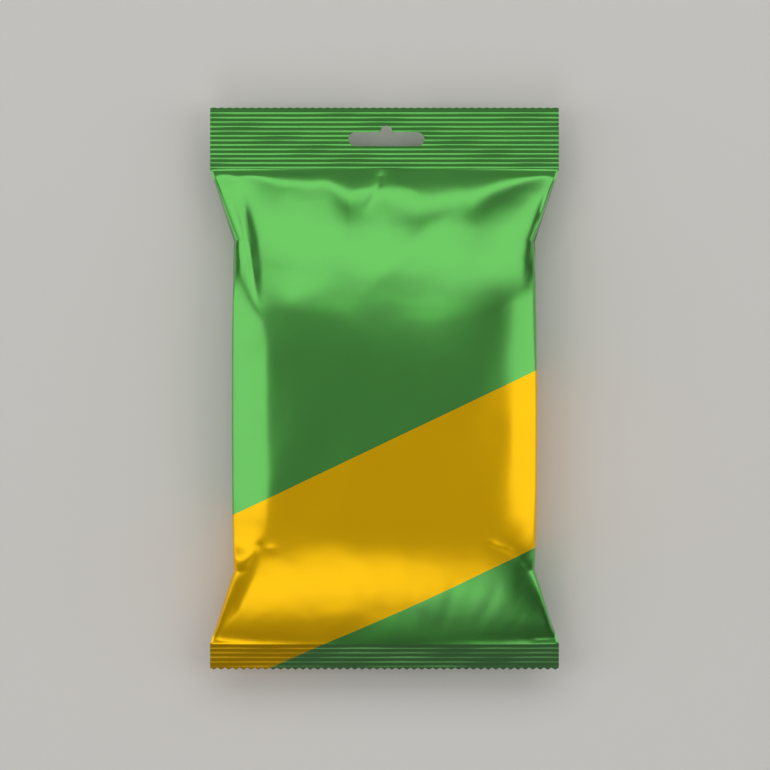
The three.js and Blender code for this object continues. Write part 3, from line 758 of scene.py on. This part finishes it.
def cut_hang_slot(bm):
    """Cuts the slot out of the flat sheet with a prism."""
    sheet = bpy.data.meshes.new("sheet")
    bm.to_mesh(sheet)
    bm.free()
    cutter = bmesh.new()
    low = -CUTTER_DEPTH / 2 * MM
    ring = [cutter.verts.new((x * MM, y * MM, low)) for x, y in slot_outline()]
    base = cutter.faces.new(ring)
    sides = bmesh.ops.extrude_face_region(cutter, geom=[base])
    top = [item for item in sides["geom"] if isinstance(item, bmesh.types.BMVert)]
    bmesh.ops.translate(cutter, verts=top, vec=(0, 0, CUTTER_DEPTH * MM))
    bmesh.ops.recalc_face_normals(cutter, faces=cutter.faces)
    prism = bpy.data.meshes.new("prism")
    cutter.to_mesh(prism)
    cutter.free()
    collection = bpy.context.scene.collection
    objects = [bpy.data.objects.new(mesh.name, mesh) for mesh in (sheet, prism)]
    for item in objects:
        collection.objects.link(item)
    cut = objects[0].modifiers.new("slot", "BOOLEAN")
    cut.operation = "DIFFERENCE"
    cut.solver = "EXACT"
    cut.object = objects[1]
    depsgraph = bpy.context.evaluated_depsgraph_get()
    result = bmesh.new()
    result.from_mesh(objects[0].evaluated_get(depsgraph).to_mesh())
    if not result.faces:
        raise RuntimeError("The hang slot could not be cut")
    for item in objects:
        mesh = item.data
        bpy.data.objects.remove(item)
        bpy.data.meshes.remove(mesh)
    many_sided = [face for face in result.faces if len(face.verts) > 4]
    bmesh.ops.triangulate(result, faces=many_sided)
    return result


# Materials


def add_node(tree, kind, links=None, values=None, **settings):
    """Adds a node, sets its properties and input values, and links its inputs."""
    node = tree.nodes.new(kind)
    for name, value in settings.items():
        setattr(node, name, value)
    for socket, value in (values or {}).items():
        node.inputs[socket].default_value = value
    for socket, source in (links or {}).items():
        tree.links.new(source, node.inputs[socket])
    return node


def printed_film():
    """Metallised polypropylene film, reverse printed: the ink tints the metal, under a clear smooth skin."""
    name = "metallised_polypropylene_film"
    if name in bpy.data.materials:
        return bpy.data.materials[name]
    settings = bpy.context.scene.bag_print
    material = bpy.data.materials.new(name)
    material.use_nodes = True
    tree = material.node_tree
    shader = tree.nodes["Principled BSDF"]
    shader.inputs["Specular IOR Level"].default_value = 0.0
    shader.inputs["Coat Roughness"].default_value = VARNISH_ROUGHNESS
    shader.inputs["Coat IOR"].default_value = VARNISH_IOR

    # Print: level is the height on the slanted scale of the band's edges, in millimetres
    place = add_node(tree, "ShaderNodeUVMap", uv_map="print")
    split = add_node(tree, "ShaderNodeSeparateXYZ", {0: place.outputs[0]})
    up = add_node(
        tree, "ShaderNodeMath", {0: split.outputs[1]}, {1: BAG_LENGTH, 2: -BAG_LENGTH / 2},
        operation="MULTIPLY_ADD")
    slant = BAND_SLOPE * BAG_WIDTH
    across = add_node(
        tree, "ShaderNodeMath", {0: split.outputs[0]}, {1: -slant, 2: slant / 2}, operation="MULTIPLY_ADD")
    level = add_node(tree, "ShaderNodeMath", {0: up.outputs[0], 1: across.outputs[0]}, operation="ADD")
    above = add_node(
        tree, "ShaderNodeMath", {0: level.outputs[0]}, {1: BAND_BOTTOM_Y}, operation="GREATER_THAN")
    below = add_node(tree, "ShaderNodeMath", {0: level.outputs[0]}, {1: BAND_TOP_Y}, operation="LESS_THAN")
    band = add_node(
        tree, "ShaderNodeMath", {0: above.outputs[0], 1: below.outputs[0]}, operation="MULTIPLY")
    ink = add_node(
        tree, "ShaderNodeMix", {"Factor": band.outputs[0]},
        {"A": (*settings.ground_colour, 1), "B": (*settings.band_colour, 1)}, data_type="RGBA")

    # Painted shade: the bottom seal's colour is multiplied darker, standing in for the shade it lies in
    # under the film
    past_bottom = add_node(
        tree, "ShaderNodeMath", {0: up.outputs[0]}, {1: BOTTOM_SEAL_Y}, operation="LESS_THAN")
    painted_seal_shade = add_node(
        tree, "ShaderNodeMix", {"Factor": past_bottom.outputs[0], "A": ink.outputs["Result"]},
        {"B": (BOTTOM_SEAL_SHADE, BOTTOM_SEAL_SHADE, BOTTOM_SEAL_SHADE, 1)},
        data_type="RGBA", blend_type="MULTIPLY")
    tree.links.new(painted_seal_shade.outputs["Result"], shader.inputs["Base Color"])

    # The band's ink is denser than the ground's: it hides more of the metal and lies under a thinner varnish
    metal = add_node(
        tree, "ShaderNodeMapRange", {"Value": band.outputs[0]}, {"To Min": 1.0, "To Max": BAND_METAL})
    tree.links.new(metal.outputs[0], shader.inputs["Metallic"])
    varnish = add_node(
        tree, "ShaderNodeMapRange", {"Value": band.outputs[0]},
        {"To Min": GROUND_VARNISH, "To Max": BAND_VARNISH})
    tree.links.new(varnish.outputs[0], shader.inputs["Coat Weight"])

    # Seals: smoother than the film between them, so their ridges show as sharp lines of light
    past_top = add_node(
        tree, "ShaderNodeMath", {0: up.outputs[0]}, {1: TOP_SEAL_Y}, operation="GREATER_THAN")
    pressed = add_node(
        tree, "ShaderNodeMath", {0: past_top.outputs[0], 1: past_bottom.outputs[0]}, operation="ADD")
    roughness = add_node(
        tree, "ShaderNodeMath", {0: pressed.outputs[0]},
        {1: SEAL_ROUGHNESS - FILM_ROUGHNESS, 2: FILM_ROUGHNESS}, operation="MULTIPLY_ADD")
    tree.links.new(roughness.outputs[0], shader.inputs["Roughness"])

    # Handling: wide soft dents that bend the reflections, and fine crinkles that break them up
    spot = add_node(tree, "ShaderNodeTexCoord")
    dents = add_node(
        tree, "ShaderNodeTexNoise", {"Vector": spot.outputs["Object"]},
        {"Scale": 1 / (DENT_SIZE * MM), "Detail": DENT_DETAIL})
    crinkles = add_node(
        tree, "ShaderNodeTexNoise", {"Vector": spot.outputs["Object"]},
        {"Scale": 1 / (CRINKLE_SIZE * MM), "Detail": CRINKLE_DETAIL})
    dented = add_node(
        tree, "ShaderNodeBump", {"Height": dents.outputs["Fac"]},
        {"Strength": 1.0, "Distance": DENT_DEPTH * MM})
    crinkled = add_node(
        tree, "ShaderNodeBump", {"Height": crinkles.outputs["Fac"], "Normal": dented.outputs[0]},
        {"Strength": CRINKLE_STRENGTH, "Distance": CRINKLE_DEPTH * MM})
    tree.links.new(crinkled.outputs[0], shader.inputs["Normal"])
    return material


def painted_floor():
    """Matt painted board: pale, and it mirrors nothing."""
    material = bpy.data.materials.new("matt_painted_board")
    material.use_nodes = True
    shader = material.node_tree.nodes["Principled BSDF"]
    shader.inputs["Base Color"].default_value = linear(FLOOR_COLOUR)
    shader.inputs["Roughness"].default_value = FLOOR_ROUGHNESS
    return material


# Stage


def add_softbox(name, place, size, power):
    """Adds a rectangular light that faces the bag."""
    light = bpy.data.lights.new(name, "AREA")
    light.shape = "RECTANGLE"
    light.size, light.size_y = size
    light.energy = power
    lamp = bpy.data.objects.new(name, light)
    bpy.context.scene.collection.objects.link(lamp)
    lamp.location = place
    aim = Vector((0, 0, AIM_HEIGHT)) - Vector(place)
    lamp.rotation_euler = aim.to_track_quat("-Z", "Y").to_euler()


def add_floor():
    """Adds the floor, which isn't part of the bag."""
    bm = bmesh.new()
    bmesh.ops.create_grid(bm, x_segments=1, y_segments=1, size=FLOOR_HALF_SIZE)
    mesh = bpy.data.meshes.new("floor")
    bm.to_mesh(mesh)
    bm.free()
    floor = bpy.data.objects.new("floor", mesh)
    bpy.context.scene.collection.objects.link(floor)
    mesh.materials.append(painted_floor())


def add_camera():
    """Adds the camera that looks straight down on the bag."""
    data = bpy.data.cameras.new("camera")
    data.lens = LENS
    data.sensor_width = SENSOR
    camera = bpy.data.objects.new("camera", data)
    distance = PIXELS * PIXEL_SIZE * LENS / SENSOR
    camera.location = (*VIEW_CENTRE, AIM_HEIGHT + distance)
    bpy.context.scene.collection.objects.link(camera)
    bpy.context.scene.camera = camera


class FilmSettings(bpy.types.PropertyGroup):
    film_length: bpy.props.FloatProperty(
        name="Film length", description="Length of the film between the seals",
        default=209.5 * MM, unit="LENGTH", precision=4)
    film_slack: bpy.props.FloatProperty(
        name="Film slack", description="Width of the film as a share of the flat bag's width",
        default=1.014, min=1.0, max=1.1, precision=3)
    film_stiffness: bpy.props.FloatProperty(
        name="Film stiffness", description="How much the film resists bending",
        default=0.15, min=0, max=1, subtype="FACTOR")
    crease_depth: bpy.props.FloatProperty(
        name="Crease depth", description="How strongly the creases from handling are pressed in",
        default=1.0, min=0, max=2, subtype="FACTOR")


class PrintSettings(bpy.types.PropertyGroup):
    ground_colour: bpy.props.FloatVectorProperty(
        name="Ground colour", description="Ink that tints most of the film",
        subtype="COLOR", size=3, min=0, max=1, default=linear("#44AE33")[:3])
    band_colour: bpy.props.FloatVectorProperty(
        name="Band colour", description="Ink of the slanted band",
        subtype="COLOR", size=3, min=0, max=1, default=linear("#FFC600")[:3])


class StageSettings(bpy.types.PropertyGroup):
    side_power: bpy.props.FloatProperty(
        name="Side lights", description="Power of the left and right softboxes",
        default=10.4, min=0, unit="POWER")
    upper_power: bpy.props.FloatProperty(
        name="Upper light", description="Power of the softbox beyond the hang slot",
        default=20, min=0, unit="POWER")
    lower_power: bpy.props.FloatProperty(
        name="Lower light", description="Power of the softbox at the foot of the bag",
        default=4.2, min=0, unit="POWER")
    ceiling_power: bpy.props.FloatProperty(
        name="Ceiling light", description="Power of the wide, weak softbox overhead",
        default=4.2, min=0, unit="POWER")
    room_light: bpy.props.FloatProperty(
        name="Room light", description="Brightness of the even light from all round",
        default=0.12, min=0)


class BAG_OT_film(bpy.types.Operator):
    """Settle the film over its filling and make the bag's body"""

    bl_idname = "bag.film"
    bl_label = "Make film body"

    def execute(self, context):
        film_piece(context.scene.bag_film)
        return {"FINISHED"}


class BAG_OT_seals(bpy.types.Operator):
    """Make both crimped seals, with the hang slot in the top one"""

    bl_idname = "bag.seals"
    bl_label = "Make seals"

    def execute(self, context):
        seal_piece(
            "seal_top", TOP_SEAL_Y, BAG_LENGTH / 2, TOP_RIDGES, TOP_RIDGE_RISE,
            TOP_TEETH, TOP_TOOTH_DEPTH, True)
        seal_piece(
            "seal_bottom", BOTTOM_SEAL_Y, -BAG_LENGTH / 2, BOTTOM_RIDGES, BOTTOM_RIDGE_RISE,
            BOTTOM_TEETH, BOTTOM_TOOTH_DEPTH, False)
        return {"FINISHED"}


class BAG_OT_stage(bpy.types.Operator):
    """Set up the floor, the softboxes and the camera"""

    bl_idname = "bag.stage"
    bl_label = "Set up stage"

    def execute(self, context):
        stage = context.scene.bag_stage
        add_floor()
        for name, place, size, power in SOFTBOXES:
            add_softbox(name, place, size, getattr(stage, power))
        world = bpy.data.worlds.new("room")
        world.use_nodes = True
        background = world.node_tree.nodes["Background"]
        background.inputs["Color"].default_value = (1, 1, 1, 1)
        background.inputs["Strength"].default_value = stage.room_light
        context.scene.world = world
        add_camera()
        context.scene.view_settings.view_transform = "Standard"
        return {"FINISHED"}


class BAG_PT_panel(bpy.types.Panel):
    """Sizes, colours and steps of the bag"""

    bl_idname = "BAG_PT_panel"
    bl_label = "Crisp bag"
    bl_space_type = "VIEW_3D"
    bl_region_type = "UI"
    bl_category = "Crisp bag"

    def draw(self, context):
        for group in (context.scene.bag_film, context.scene.bag_print, context.scene.bag_stage):
            for name in group.bl_rna.properties.keys():
                if name not in ("rna_type", "name"):
                    self.layout.prop(group, name)
        for operator in (BAG_OT_film, BAG_OT_seals, BAG_OT_stage):
            self.layout.operator(operator.bl_idname)


CLASSES = (
    FilmSettings, PrintSettings, StageSettings, BAG_OT_film, BAG_OT_seals, BAG_OT_stage, BAG_PT_panel)


def register():
    for item in CLASSES:
        bpy.utils.register_class(item)
    bpy.types.Scene.bag_film = bpy.props.PointerProperty(type=FilmSettings)
    bpy.types.Scene.bag_print = bpy.props.PointerProperty(type=PrintSettings)
    bpy.types.Scene.bag_stage = bpy.props.PointerProperty(type=StageSettings)


def unregister():
    del bpy.types.Scene.bag_stage
    del bpy.types.Scene.bag_print
    del bpy.types.Scene.bag_film
    for item in reversed(CLASSES):
        bpy.utils.unregister_class(item)


def main():
    register()
    bpy.ops.bag.film()
    bpy.ops.bag.seals()
    bpy.ops.bag.stage()


if __name__ == "__main__":
    main()
